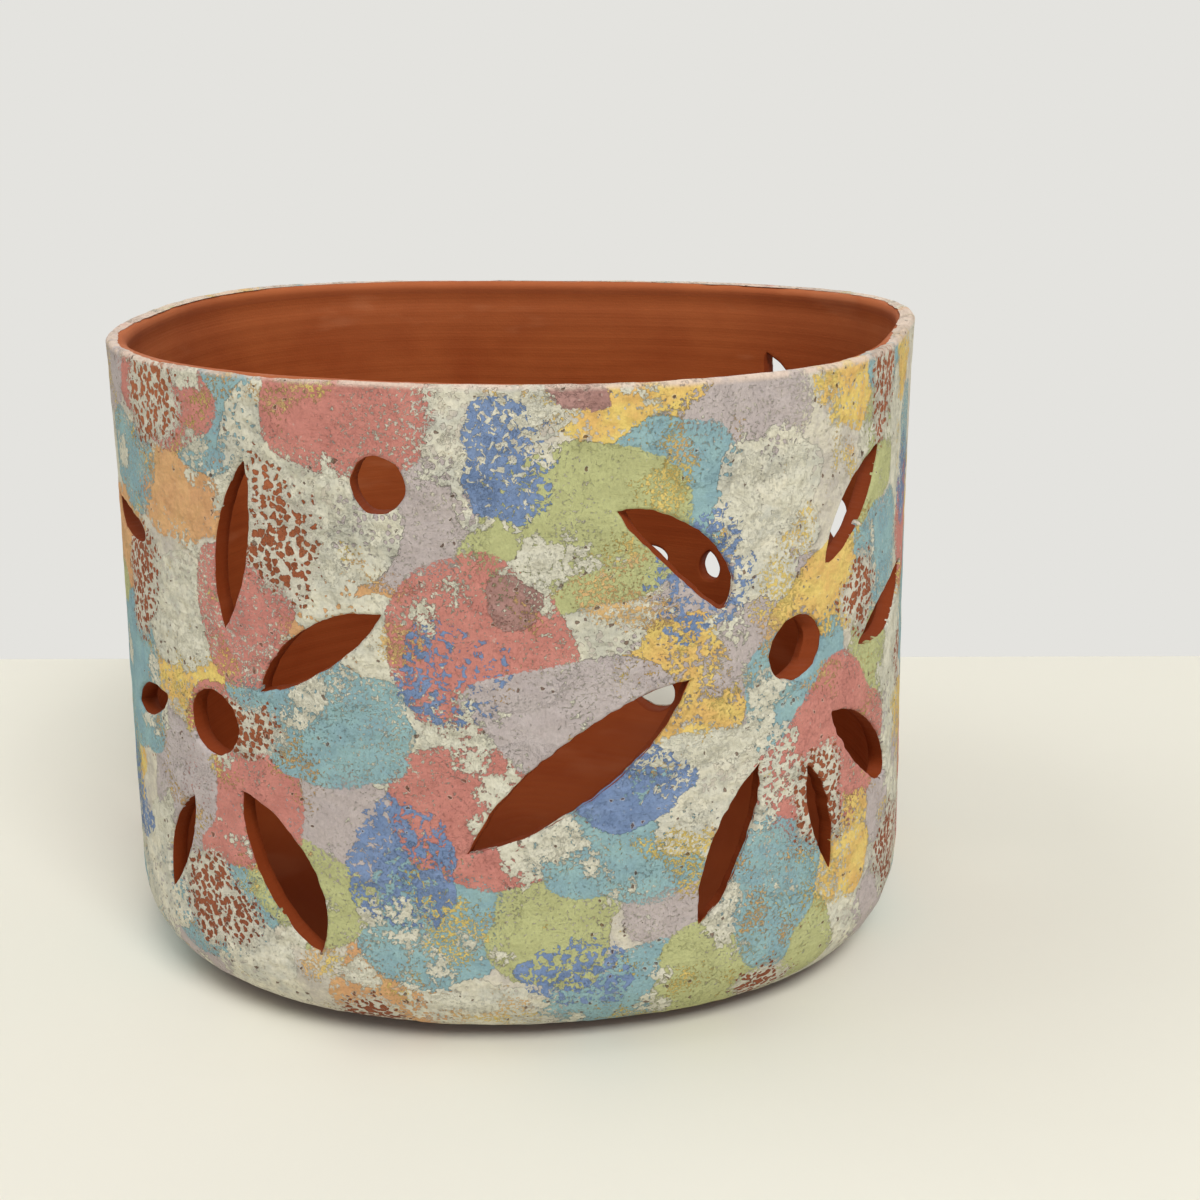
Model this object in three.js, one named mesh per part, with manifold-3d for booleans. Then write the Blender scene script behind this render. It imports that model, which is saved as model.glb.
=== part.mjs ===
// A pierced terracotta orchid pot, coated outside with coloured slip.
// Millimetres, +Z up. It stands on z = 0, and the middle of its footprint is the origin.
// Angles are in degrees round the pot: -90 is the front and 0 the right-hand side.
import * as THREE from "three";
import { mergeVertices } from "three/addons/utils/BufferGeometryUtils.js";
import Module from "manifold-3d";

const wasm = await Module();
wasm.setup();

// Main sizes of the fired body
const potHeight = 127.5;
const potRadius = 87; // mean radius over the slip, half way up
const clayThickness = 3.2;
const heelRadius = 16.5; // outer rounding between wall and underside
const innerHeelRadius = 9;

// Floor and turned foot
const floorThickness = 5;
const footHeight = 2.2;
const footWidth = 8;
const floorMargin = 3; // flat floor left between its seam and the inner rounding
const seamGap = 0.3;

// Rim
const rimHeight = 4;
const rimRounding = 1.5;

// Slip coat
const slipThickness = 0.5;
const slipGap = 0.3; // between the clay and its coat
const slipEndAngle = 60; // how far the coat follows the heel down

// Drain holes in the floor
const drainDiameter = 9;
const drainCircleRadius = 36;
const drainCount = 4;
const firstDrainAngle = 45;

// Cut-outs in the wall: petals round open eyes, and single vents
const petalWidth = 8.5;
const eyeDiameter = 12.6;
const ventDiameter = 9.6;
const cutOverrun = 3; // how far a cutter passes the faces that it cuts

// Fineness of the rounded surfaces
const turnSteps = 54;
const wallRows = 6;
const heelSteps = 4;
const lipSteps = 3;
const petalSideSteps = 5;
const roundSteps = 12;

// The potter squared the rim by hand, so the plan is a circle with a few low lobes.
// A lobe's share is its height as a share of the radius, and it peaks at its angle.
const rimLobeShares = [
  { lobes: 2, share: 0.0119, peak: -64.4 },
  { lobes: 3, share: 0.0383, peak: 29.3 },
  { lobes: 4, share: 0.0373, peak: 39.1 },
  { lobes: 6, share: 0.0041, peak: 16.9 },
];
const footLobeShares = [
  { lobes: 2, share: 0.0059, peak: 23.2 },
  { lobes: 3, share: 0.0078, peak: -22.7 },
  { lobes: 4, share: 0.0115, peak: -42.6 },
  { lobes: 5, share: 0.0124, peak: 21 },
  { lobes: 6, share: 0.0085, peak: 29.6 },
];
const flareShare = 0.0105; // how much wider the rim is than the foot

// A petal runs between two tips, each an angle round the pot and a share of its height.
// Its sides swell to shares of the petal's width, left and right as seen from outside on
// the way to the second tip, and a blunt one ends square there.
const petalShares = [
  // round the left eye on the front
  { from: [-122.3, 0.631], to: [-117.5, 0.875], left: 0.49, right: 0.36 },
  { from: [-117.3, 0.548], to: [-100.6, 0.682], left: 0.6, right: 0.35 },
  { from: [-121.2, 0.389], to: [-111, 0.153], left: 0.87, right: 0.58 },
  { from: [-129.9, 0.354], to: [-137, 0.176], left: 0.32, right: 0.45 },
  { from: [-135.2, 0.492], to: [-146, 0.447], left: 0.37, right: 0.37 },
  { from: [-156, 0.752], to: [-138.8, 0.73], left: 0.28, right: 0.34, blunt: true },
  // round the right eye on the front
  { from: [-74.2, 0.827], to: [-61.7, 0.682], left: 0.83, right: 0.16, blunt: true },
  { from: [-65, 0.584], to: [-91.4, 0.332], left: 0.69, right: 0.69 },
  { from: [-55.7, 0.438], to: [-62.9, 0.194], left: 0.42, right: 0.42 },
  { from: [-47.9, 0.409], to: [-43, 0.224], left: 0.36, right: 0.25 },
  { from: [-44.1, 0.482], to: [-28.5, 0.325], left: 0.54, right: 0.48, blunt: true },
  { from: [-38.5, 0.568], to: [-14, 0.622], left: 0.52, right: 0.5 },
  { from: [-46.9, 0.711], to: [-33.5, 0.858], left: 0.64, right: 0.38 },
  // round the eye at the back right
  { from: [40.5, 0.69], to: [49.1, 0.863], left: 0.5, right: 0.5 },
  { from: [31, 0.69], to: [26, 0.815], left: 0.45, right: 0.45 },
  { from: [22.5, 0.545], to: [6, 0.55], left: 0.48, right: 0.48 },
  { from: [28, 0.44], to: [24, 0.26], left: 0.42, right: 0.42 },
  // round the eye at the back
  { from: [80, 0.168], to: [65.4, 0.092], left: 0.62, right: 0.7, blunt: true },
  { from: [80.5, 0.305], to: [67.2, 0.425], left: 0.45, right: 0.74, blunt: true },
  { from: [89, 0.39], to: [86, 0.62], left: 0.5, right: 0.5 },
  { from: [99.5, 0.36], to: [112, 0.5], left: 0.5, right: 0.5 },
  { from: [102, 0.27], to: [119, 0.27], left: 0.46, right: 0.46 },
  // round the eye at the back left
  { from: [178, 0.7], to: [176, 0.86], left: 0.45, right: 0.45 },
  { from: [-172.5, 0.665], to: [-164, 0.81], left: 0.48, right: 0.48 },
  { from: [-171, 0.5], to: [-163, 0.33], left: 0.5, right: 0.5 },
  { from: [178, 0.43], to: [179, 0.2], left: 0.5, right: 0.5 },
  { from: [170.5, 0.64], to: [160.5, 0.775], left: 0.46, right: 0.46 },
  // single petals between the flowers
  { from: [58.6, 0.444], to: [58.2, 0.379], left: 0.36, right: 0.36, blunt: true },
  { from: [136, 0.42], to: [145, 0.6], left: 0.5, right: 0.5 },
  { from: [1, 0.19], to: [-3, 0.4], left: 0.46, right: 0.46 },
];

// Round cut-outs: the middles of the flowers, and the vents between them
const eyeShares = [
  { at: [-125.3, 0.482] },
  { at: [-51.2, 0.601] },
  { at: [32.3, 0.558] },
  { at: [90.5, 0.255] },
  { at: [178, 0.565] },
];
const ventShares = [
  { at: [-100.2, 0.859] },
  { at: [137, 0.74] },
];

// How a petal's side swells: where its curve's handles stand along it, as shares of its
// length, and how far out, as a share of the swelling that it ends up with.
const pointedHandleShares = [0.25, 0.75];
const bluntHandleShares = [0.25, 1];
const handleReachShare = 4 / 3;

const radians = THREE.MathUtils.degToRad;

// The lobed plan's radius as a share of the round one's, at an angle in radians.
function planShare(angle, lobes) {
  const rise = (lobe) => lobe.share * Math.cos(lobe.lobes * (angle - radians(lobe.peak)));
  return lobes.reduce((sum, lobe) => sum + rise(lobe), 1);
}

// The same at a height: the foot's plan turns smoothly into the rim's on the way up.
function shapeShare(angle, height) {
  const up = height / potHeight;
  const blend = THREE.MathUtils.smoothstep(up, 0, 1);
  const foot = planShare(angle, footLobeShares);
  const rim = planShare(angle, rimLobeShares);
  return THREE.MathUtils.lerp(foot, rim, blend) * (1 + flareShare * (up - 1 / 2));
}

// A solid of revolution, stood up along +Z and squared by hand like the pot.
function turned(profile) {
  const geometry = new THREE.LatheGeometry(profile, turnSteps);
  geometry.rotateX(Math.PI / 2);
  const places = geometry.getAttribute("position");
  for (let i = 0; i < places.count; i++) {
    const x = places.getX(i);
    const y = places.getY(i);
    const z = places.getZ(i);
    const share = shapeShare(Math.atan2(y, x), z);
    places.setXYZ(i, x * share, y * share, z);
  }
  return solidOf(geometry);
}

// A closed geometry as a solid that can be cut.
function solidOf(geometry) {
  const bare = geometry.clone();
  bare.deleteAttribute("normal");
  bare.deleteAttribute("uv");
  const merged = mergeVertices(bare);
  return new wasm.Manifold(
    new wasm.Mesh({
      numProp: 3,
      vertProperties: merged.getAttribute("position").array,
      triVerts: new Uint32Array(merged.index.array),
    }),
  );
}

function geometryOf(solid) {
  const mesh = solid.getMesh();
  const geometry = new THREE.BufferGeometry();
  geometry.setAttribute("position", new THREE.BufferAttribute(mesh.vertProperties, 3));
  geometry.setIndex(new THREE.BufferAttribute(mesh.triVerts, 1));
  geometry.computeVertexNormals();
  return geometry;
}

// Points of an arc in a profile, both ends included. Angles run from the +r axis.
function arc(centreR, centreZ, radius, startAngle, endAngle, steps) {
  const points = [];
  for (let i = 0; i <= steps; i++) {
    const angle = radians(THREE.MathUtils.lerp(startAngle, endAngle, i / steps));
    points.push(
      new THREE.Vector2(centreR + radius * Math.cos(angle), centreZ + radius * Math.sin(angle)),
    );
  }
  return points;
}

// Points up or down a straight wall, its ends left out.
function rows(radius, startZ, endZ) {
  const points = [];
  for (let i = 1; i < wallRows; i++) {
    points.push(new THREE.Vector2(radius, THREE.MathUtils.lerp(startZ, endZ, i / wallRows)));
  }
  return points;
}

// Where the faces of the body lie
const clayRadius = potRadius - slipThickness - slipGap;
const innerRadius = clayRadius - clayThickness;
const heelCentreR = potRadius - heelRadius;
const clayHeelRadius = heelRadius - slipThickness - slipGap;
const footRadius = innerRadius - innerHeelRadius - floorMargin; // under the floor's seam
const floorTop = footHeight + floorThickness;
const innerHeelZ = floorTop + innerHeelRadius;
const rimBase = potHeight - rimHeight;
const clayHeelEnd = THREE.MathUtils.radToDeg(Math.asin((heelRadius - footHeight) / clayHeelRadius));

function wallProfile() {
  const seam = footRadius + seamGap / 2;
  const points = [
    new THREE.Vector2(seam, footHeight),
    ...arc(heelCentreR, heelRadius, clayHeelRadius, -clayHeelEnd, 0, heelSteps),
    ...rows(clayRadius, heelRadius, rimBase),
    new THREE.Vector2(clayRadius, rimBase),
    new THREE.Vector2(innerRadius, rimBase),
    ...rows(innerRadius, rimBase, innerHeelZ),
    ...arc(innerRadius - innerHeelRadius, innerHeelZ, innerHeelRadius, 0, -90, heelSteps),
    new THREE.Vector2(seam, floorTop),
  ];
  return [...points, points[0].clone()];
}

function slipProfile() {
  const inner = heelRadius - slipThickness;
  const points = [
    ...arc(heelCentreR, heelRadius, heelRadius, -slipEndAngle, 0, heelSteps),
    ...rows(potRadius, heelRadius, rimBase),
    new THREE.Vector2(potRadius, rimBase),
    new THREE.Vector2(potRadius - slipThickness, rimBase),
    ...rows(potRadius - slipThickness, rimBase, heelRadius),
    ...arc(heelCentreR, heelRadius, inner, 0, -slipEndAngle, heelSteps),
  ];
  return [...points, points[0].clone()];
}

function rimProfile() {
  const shoulder = potHeight - rimRounding;
  const points = [
    new THREE.Vector2(innerRadius, rimBase),
    new THREE.Vector2(potRadius, rimBase),
    ...arc(potRadius - rimRounding, shoulder, rimRounding, 0, 90, lipSteps),
    ...arc(innerRadius + rimRounding, shoulder, rimRounding, 90, 180, lipSteps),
  ];
  return [...points, points[0].clone()];
}

function floorProfile() {
  const edge = footRadius - seamGap / 2;
  return [
    new THREE.Vector2(0, footHeight),
    new THREE.Vector2(edge, footHeight),
    new THREE.Vector2(edge, floorTop),
    new THREE.Vector2(0, floorTop),
  ];
}

function footProfile() {
  const inner = footRadius - footWidth / 2;
  const outer = footRadius + footWidth / 2;
  const points = [
    new THREE.Vector2(inner, 0),
    new THREE.Vector2(outer, 0),
    new THREE.Vector2(outer, footHeight),
    new THREE.Vector2(inner, footHeight),
  ];
  return [...points, points[0].clone()];
}

// A petal's outline along +X, its middle at the origin and its left side towards +Y.
function petalShape(length, left, right, handleShares) {
  const tip = length / 2;
  const [near, far] = handleShares.map((share) => share * length - tip);
  const up = left * handleReachShare;
  const down = -right * handleReachShare;
  const shape = new THREE.Shape();
  shape.moveTo(-tip, 0);
  shape.bezierCurveTo(near, down, far, down, tip, 0);
  shape.bezierCurveTo(far, up, near, up, -tip, 0);
  return shape;
}

function roundShape(diameter) {
  const shape = new THREE.Shape();
  shape.absarc(0, 0, diameter / 2, 0, 2 * Math.PI);
  return shape;
}

// A cutter that stands on the wall at an angle and height and cuts straight in.
// Its shape is drawn as seen from outside, turned by a tilt.
const cutterDepth = potRadius - footRadius + cutOverrun;
function cutter(shape, curveSegments, angle, height, tilt) {
  const depth = cutterDepth + cutOverrun;
  const geometry = new THREE.ExtrudeGeometry(shape, { depth, bevelEnabled: false, curveSegments });
  geometry.translate(0, 0, -cutterDepth);
  geometry.rotateZ(tilt);
  const across = new THREE.Vector3(-Math.sin(angle), Math.cos(angle), 0);
  const out = new THREE.Vector3(Math.cos(angle), Math.sin(angle), 0);
  const up = new THREE.Vector3(0, 0, 1);
  const place = new THREE.Matrix4().makeBasis(across, up, out);
  const reach = potRadius * shapeShare(angle, height);
  place.setPosition(out.multiplyScalar(reach).setZ(height));
  geometry.applyMatrix4(place);
  return solidOf(geometry);
}

// A petal is drawn in the plane that touches the wall at its middle.
function petalCutter({ from, to, left, right, blunt }) {
  const turn = THREE.MathUtils.euclideanModulo(to[0] - from[0] + 180, 360) - 180;
  const angle = radians(from[0] + turn / 2);
  const height = ((from[1] + to[1]) / 2) * potHeight;
  const rise = (to[1] - from[1]) * potHeight;
  const across = radians(turn) * potRadius * shapeShare(angle, height);
  const length = Math.hypot(across, rise);
  const handles = blunt ? bluntHandleShares : pointedHandleShares;
  const shape = petalShape(length, left * petalWidth, right * petalWidth, handles);
  return cutter(shape, petalSideSteps, angle, height, Math.atan2(rise, across));
}

function roundCutter(diameter, [angle, heightShare]) {
  const height = heightShare * potHeight;
  return cutter(roundShape(diameter), roundSteps, radians(angle), height, 0);
}

function wallCutters() {
  return [
    ...petalShares.map(petalCutter),
    ...eyeShares.map(({ at }) => roundCutter(eyeDiameter, at)),
    ...ventShares.map(({ at }) => roundCutter(ventDiameter, at)),
  ];
}

function pierced(solid, cutters) {
  return cutters.reduce((rest, tool) => rest.subtract(tool), solid);
}

function drainCutters() {
  const cutters = [];
  for (let i = 0; i < drainCount; i++) {
    const angle = radians(firstDrainAngle + (i * 360) / drainCount);
    const depth = floorThickness + 2 * cutOverrun;
    const geometry = new THREE.CylinderGeometry(
      drainDiameter / 2,
      drainDiameter / 2,
      depth,
      roundSteps,
    );
    geometry.rotateX(Math.PI / 2);
    geometry.translate(
      drainCircleRadius * Math.cos(angle),
      drainCircleRadius * Math.sin(angle),
      footHeight + floorThickness / 2,
    );
    cutters.push(solidOf(geometry));
  }
  return cutters;
}

function clay() {
  return new THREE.MeshStandardMaterial({ color: 0xa9552f, roughness: 0.85, metalness: 0 });
}

function slip() {
  return new THREE.MeshStandardMaterial({ color: 0xc9c1ab, roughness: 0.95, metalness: 0 });
}

function piece(name, solid, material) {
  const mesh = new THREE.Mesh(geometryOf(solid), material);
  mesh.name = name;
  return mesh;
}

const pot = new THREE.Group();
const cutters = wallCutters();
pot.add(piece("wall", pierced(turned(wallProfile()), cutters), clay()));
pot.add(piece("slip_coat", pierced(turned(slipProfile()), cutters), slip()));
pot.add(piece("rim", turned(rimProfile()), clay()));
pot.add(piece("floor", pierced(turned(floorProfile()), drainCutters()), clay()));
pot.add(piece("foot_ring", turned(footProfile()), clay()));

// The lobed plan isn't centred on the axis that it is turned about.
const middle = new THREE.Box3().setFromObject(pot).getCenter(new THREE.Vector3());
pot.position.set(-middle.x, -middle.y, 0);

export default pot;
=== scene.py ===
"""Looks for the pierced orchid pot: hand-cut clay, sponged slip, floor, foot and light.

Lengths are in millimetres until a mesh or a light is made. Angles round the pot are in
degrees, with -90 at the front and 0 at the right-hand side.
"""
import itertools
import math

import bmesh
import bpy
import numpy as np
from mathutils import Euler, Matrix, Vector


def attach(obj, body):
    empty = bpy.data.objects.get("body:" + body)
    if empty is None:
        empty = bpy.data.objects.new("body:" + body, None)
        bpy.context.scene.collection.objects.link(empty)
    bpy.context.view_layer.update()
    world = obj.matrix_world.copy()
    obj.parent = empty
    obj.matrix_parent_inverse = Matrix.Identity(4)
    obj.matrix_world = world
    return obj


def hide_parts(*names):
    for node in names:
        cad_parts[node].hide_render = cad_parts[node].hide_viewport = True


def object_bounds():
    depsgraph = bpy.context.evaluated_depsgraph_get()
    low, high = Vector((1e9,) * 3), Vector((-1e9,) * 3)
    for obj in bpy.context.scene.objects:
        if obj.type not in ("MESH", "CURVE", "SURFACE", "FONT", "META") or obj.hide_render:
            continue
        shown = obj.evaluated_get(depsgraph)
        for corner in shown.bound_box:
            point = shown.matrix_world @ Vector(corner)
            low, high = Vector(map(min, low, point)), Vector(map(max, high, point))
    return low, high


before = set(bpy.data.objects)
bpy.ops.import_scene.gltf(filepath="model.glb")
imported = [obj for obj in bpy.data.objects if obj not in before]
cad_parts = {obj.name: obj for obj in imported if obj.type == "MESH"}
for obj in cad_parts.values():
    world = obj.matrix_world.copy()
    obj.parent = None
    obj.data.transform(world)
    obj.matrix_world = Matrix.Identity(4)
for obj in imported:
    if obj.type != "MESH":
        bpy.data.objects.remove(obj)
cad_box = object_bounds()

MM = 0.001

# The fired body, as its solids have it
POT_HEIGHT = (cad_box[1].z - cad_box[0].z) / MM
POT_RADIUS = 87
CLAY_THICKNESS = 3.2
HEEL_RADIUS = 16.5
INNER_HEEL_RADIUS = 9
LOW_ROW = 8
FLOOR_THICKNESS = 5
FLOOR_MARGIN = 3
FOOT_HEIGHT = 2.2
FOOT_WIDTH = 8
FOOT_BEVEL = 0.6
RIM_HEIGHT = 4
RIM_ROUNDING = 1.5
SLIP_THICKNESS = 0.5
SLIP_GAP = 0.3
SLIP_END_ANGLE = 60
DRAIN_DIAMETER = 9
DRAIN_CIRCLE_RADIUS = 36
DRAIN_ANGLES = (45, 135, 225, 315)
PETAL_WIDTH = 8.5
EYE_DIAMETER = 12.6
VENT_DIAMETER = 9.6

# The squared plan: lobes, height as a share of the radius, and the angle of the peak
RIM_LOBE_SHARES = (
    (2, 0.0119, -64.4),
    (3, 0.0383, 29.3),
    (4, 0.0373, 39.1),
    (6, 0.0041, 16.9),
)
FOOT_LOBE_SHARES = (
    (2, 0.0059, 23.2),
    (3, 0.0078, -22.7),
    (4, 0.0115, -42.6),
    (5, 0.0124, 21),
    (6, 0.0085, 29.6),
)
FLARE_SHARE = 0.0105

# Petals: two tips, each an angle and a share of the height, the swelling of the left and
# right sides as shares of the petal's width, and whether the second tip is blunt
PETAL_SHARES = (
    ((-122.3, 0.631), (-117.5, 0.875), 0.49, 0.36, False),
    ((-117.3, 0.548), (-100.6, 0.682), 0.6, 0.35, False),
    ((-121.2, 0.389), (-111, 0.153), 0.87, 0.58, False),
    ((-129.9, 0.354), (-137, 0.176), 0.32, 0.45, False),
    ((-135.2, 0.492), (-146, 0.447), 0.37, 0.37, False),
    ((-156, 0.752), (-138.8, 0.73), 0.28, 0.34, True),
    ((-74.2, 0.827), (-61.7, 0.682), 0.83, 0.16, True),
    ((-65, 0.584), (-91.4, 0.332), 0.69, 0.69, False),
    ((-55.7, 0.438), (-62.9, 0.194), 0.42, 0.42, False),
    ((-47.9, 0.409), (-43, 0.224), 0.36, 0.25, False),
    ((-44.1, 0.482), (-28.5, 0.325), 0.54, 0.48, True),
    ((-38.5, 0.568), (-14, 0.622), 0.52, 0.5, False),
    ((-46.9, 0.711), (-33.5, 0.858), 0.64, 0.38, False),
    ((40.5, 0.69), (49.1, 0.863), 0.5, 0.5, False),
    ((31, 0.69), (26, 0.815), 0.45, 0.45, False),
    ((22.5, 0.545), (6, 0.55), 0.48, 0.48, False),
    ((28, 0.44), (24, 0.26), 0.42, 0.42, False),
    ((80, 0.168), (65.4, 0.092), 0.62, 0.7, True),
    ((80.5, 0.305), (67.2, 0.425), 0.45, 0.74, True),
    ((89, 0.39), (86, 0.62), 0.5, 0.5, False),
    ((99.5, 0.36), (112, 0.5), 0.5, 0.5, False),
    ((102, 0.27), (119, 0.27), 0.46, 0.46, False),
    ((178, 0.7), (176, 0.86), 0.45, 0.45, False),
    ((-172.5, 0.665), (-164, 0.81), 0.48, 0.48, False),
    ((-171, 0.5), (-163, 0.33), 0.5, 0.5, False),
    ((178, 0.43), (179, 0.2), 0.5, 0.5, False),
    ((170.5, 0.64), (160.5, 0.775), 0.46, 0.46, False),
    ((58.6, 0.444), (58.2, 0.379), 0.36, 0.36, True),
    ((136, 0.42), (145, 0.6), 0.5, 0.5, False),
    ((1, 0.19), (-3, 0.4), 0.46, 0.46, False),
)
EYE_SHARES = ((-125.3, 0.482), (-51.2, 0.601), (32.3, 0.558), (90.5, 0.255), (178, 0.565))
VENT_SHARES = ((-100.2, 0.859), (137, 0.74))
HANDLE_SHARES = {False: (0.25, 0.75), True: (0.25, 1)}
HANDLE_REACH_SHARE = 4 / 3
OUTLINE_STEPS = 20

# The hand's work on clay and slip; hills hold the height, size and seed of each noise
GRID_STEP = 0.8
LIP_STEP = 0.4
EDGE_ROUNDING = 0.5
CUT_WOBBLE = 0.3
WOBBLE_SIZE = 9
CUT_NICK = 0.16
NICK_SIZE = 2
SLIP_NICK = 0.16
SLIP_NICK_SIZE = 1.2
SLIP_BACK = 0.72
CLAY_FRONT = 0.74
LIP_DROP = 0.25
LIP_DIP_HILLS = ((0.75, 26, 61), (0.25, 7, 62))
LIP_INNER_ROUNDING = 1.7
LIP_INNER_HILLS = ((0.14, 14, 63), (0.05, 3, 64))
BEAD_RISE = 0.32
BEAD_DROP = 2.3
BEAD_WIDTH = 1.6
GROOVE_DEPTH = 0.26
GROOVE_DROP = 6.2
GROOVE_WIDTH = 2
RING_RISE = 0.05
RING_PITCH = 3.4
WALL_SWELL = 0.15
FLOOR_STEP = 1.2
FLOOR_GRID_SHARE = 1.06
FLOOR_RING_RISE = 0.14
FLOOR_RING_PITCH = 4.2
FLOOR_SWELL = 0.2
FLOOR_SPIRAL_REACH = 60
FLOOR_FADE = 6
FLOOR_EDGE = 1.5
DRAIN_ROUNDING = 0.4
DRAIN_WOBBLE = 0.2
PIECE_GAP = 0.02
ROW_SLACK = 0.01
SHARP_ANGLE = 55
MERGE_REACH = 0.002
HEEL_STEPS = 540
LIP_STEPS = 720
FOOT_STEPS = 360

# How deep the slip's face lies, and how much each coat, lump, cut edge and scraped place
# changes it
SLIP_FACE = 0.34
SLIP_HIGHEST = 0.01
SLIP_LOWEST = 0.5
COAT_RISE = 0.04
MOST_COATS = 5
DAB_EDGE = 1.2
LUMP_RISE = 0.17
LUMP_HILLS = ((0.5, 5.5, 34), (0.35, 2.3, 35), (0.15, 1.3, 36))
EDGE_RISE = 0.08
EDGE_BACK = 1.2
EDGE_WIDTH = 0.7
SCRAPE_DEPTH = 0.12
SCRAPE_EDGE = 2
FEATHER_WIDTH = 1.8
FEATHERED_DEPTH = 0.64

# The rings of a cut through the wall: how far behind the clay's front the first one lies,
# then each next one's share of the edge's rounding and its distance from the inside
CUT_FRONT_DROP = 0.1
CUT_RINGS = ((1, 1.6), (1, 0.35), (0.6, 0.12))

# The slip's edges: how far it laps into a cut-out, its rings from front to back, each with
# its shares of the rounding, of the way to the back and of the lap, and its ragged ends
LAP_MEAN = 0.35
LAP_LEAST = 0.02
LAP_MOST = 1.5
LAP_HILLS = ((0.9, 7, 37), (0.3, 2, 38))
SLIP_RING_SHARES = ((0.5, 0.15, 0), (0.87, 0.5, 0), (1.2, 1, 0), (1.18, 1, 1), (1, 1, 1.05))
FINE_GRID_DROP = 2
GRID_OVERRUN = 2.4
LINE_REACH = 1.4
CUT_REACH = 1.2
HEEL_LINE_RISE = 0.6
HEEL_LINE_WOBBLE = 0.5
LIP_LINE_HILLS = ((0.6, 6, 32), (0.4, 2, 33))

# How the slip laps over the lip: angle, reach to either side, rise in mm
LIP_LAPS = (
    (2, 32, 2.2),
    (50, 42, 1.9),
    (178, 50, 1.7),
    (142, 36, 1.6),
    (-52, 46, 1.3),
    (-112, 34, -0.9),
)

# Slip colours, from the first laid on to the last: name, family, the light and the dark
# tone as written in sRGB, the share of dabs, their radius, how scalloped they are, and the
# share that the sponge leaves open. Dabs of one family aren't laid side by side.
PAINTS = (
    ("peach", "warm", (222, 176, 124), (212, 162, 116), 1.8, 15, 0.05, 0.18),
    ("lilac", "grey", (194, 182, 178), (184, 172, 169), 2.2, 16, 0.03, 0.05),
    ("yellow", "warm", (231, 204, 117), (225, 182, 109), 2.0, 15, 0.06, 0.26),
    ("teal", "blue", (152, 184, 185), (138, 170, 178), 3.0, 16, 0.03, 0.07),
    ("cream", "pale", (224, 219, 197), (198, 196, 180), 3.6, 17, 0.09, 0.2),
    ("sage", "green", (191, 193, 138), (181, 182, 130), 1.0, 15, 0.03, 0.05),
    ("pink", "red", (207, 138, 126), (196, 128, 117), 2.4, 15, 0.02, 0.04),
    ("straw", "warm", (231, 203, 119), (223, 181, 109), 1.4, 12, 0.06, 0.34),
    ("mist", "grey", (195, 184, 181), (185, 173, 171), 1.2, 13, 0.03, 0.05),
    ("aqua", "blue", (152, 185, 186), (139, 171, 179), 2.0, 14, 0.05, 0.12),
    ("chalk", "pale", (228, 222, 200), (201, 199, 184), 3.0, 15, 0.1, 0.24),
    ("rose", "red", (208, 139, 127), (197, 128, 118), 1.0, 13, 0.04, 0.12),
)
QUILT_PITCH = 23
ROW_PITCH_SHARE = 0.86
QUILT_SEED = 4
QUILT_JITTER = 0.26

# Accents laid over the rest: name, tones, how many, their seed, radius, scallops, share left
# open. The last is worn through to the clay, and seeds 75 and 120 keep the dabs well apart.
ACCENTS = (
    ("periwinkle", (130, 151, 188), (116, 138, 176), 26, 75, 9.5, 0.06, 0.42),
    ("mauve", (178, 138, 130), (166, 126, 118), 8, 71, 4, 0.03, 0.1),
    ("bare", (214, 208, 190), (204, 198, 182), 22, 120, 9.5, 0.05, 0),
)
# Steps that spread places evenly both ways: inverse powers of the plastic number
EVEN_STEP_SHARES = (0.7548777, 0.5698403)

# Tones of the ground coat, the veils over the dabs, scraped places, wiped lip, the pale rings round the
# pores and the painted shade in them
GROUND = ((220, 213, 192), (194, 186, 174))
SUNNY = ((228, 202, 120), (220, 182, 126))
PALE_VEIL = (220, 216, 196)
SCRAPED = (172, 134, 114)
WIPED_CREST = (224, 202, 184)
LIP_SMUDGE = (222, 182, 160)
PORE_RING = (222, 214, 196)
# Painted shade inside each pore
PORE_PAINTED_SHADE = (112, 80, 62)

# How the slip wears: how far from a dab or a cut is looked at, and how the wear swings
PAINT_REACH = 12
WORN_SWING = 0.6
EDGE_WEAR = 0.3
TOP_MARGIN = 4

# The clay's tones, then the tones of painted shade low down and on cut faces, of painted light near the
# top and of painted contact shade at the foot
CLAY_PALE = (194, 124, 84)
CLAY_LIGHT = (172, 90, 43)
CLAY_MID = (158, 77, 34)
CLAY_DARK = (126, 55, 21)
# Painted shade, laid darker the lower it lies and on the cut faces
CLAY_PAINTED_SHADE = (122, 48, 13)
# Painted light, laid near the top where light falls on the upper inner wall
CLAY_PAINTED_LIGHT = (190, 110, 66)
# Painted contact shade, laid on the clay at the foot
CLAY_FOOT_PAINTED_SHADE = (72, 42, 30)

# Cut-outs whose inner edge leans aside from the outer one, by their place in the tables
LEANS = {6: (1.6, -0.4), 7: (0.5, -0.5), 8: (0.9, 0), len(PETAL_SHARES) + 1: (-2.6, 0.2)}
LEAN_REACH = 9

# Where the camera of the photograph stood, with the pot's turning axis as the origin
CAMERA_PLACE = (33.59, -336.76, 167.49)
CAMERA_PITCH = 17.08
CAMERA_YAW = 2.80
CAMERA_ROLL = -0.15
CAMERA_LENS = 47.1
SENSOR_WIDTH = 36
NEAREST_SEEN = 10

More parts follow.
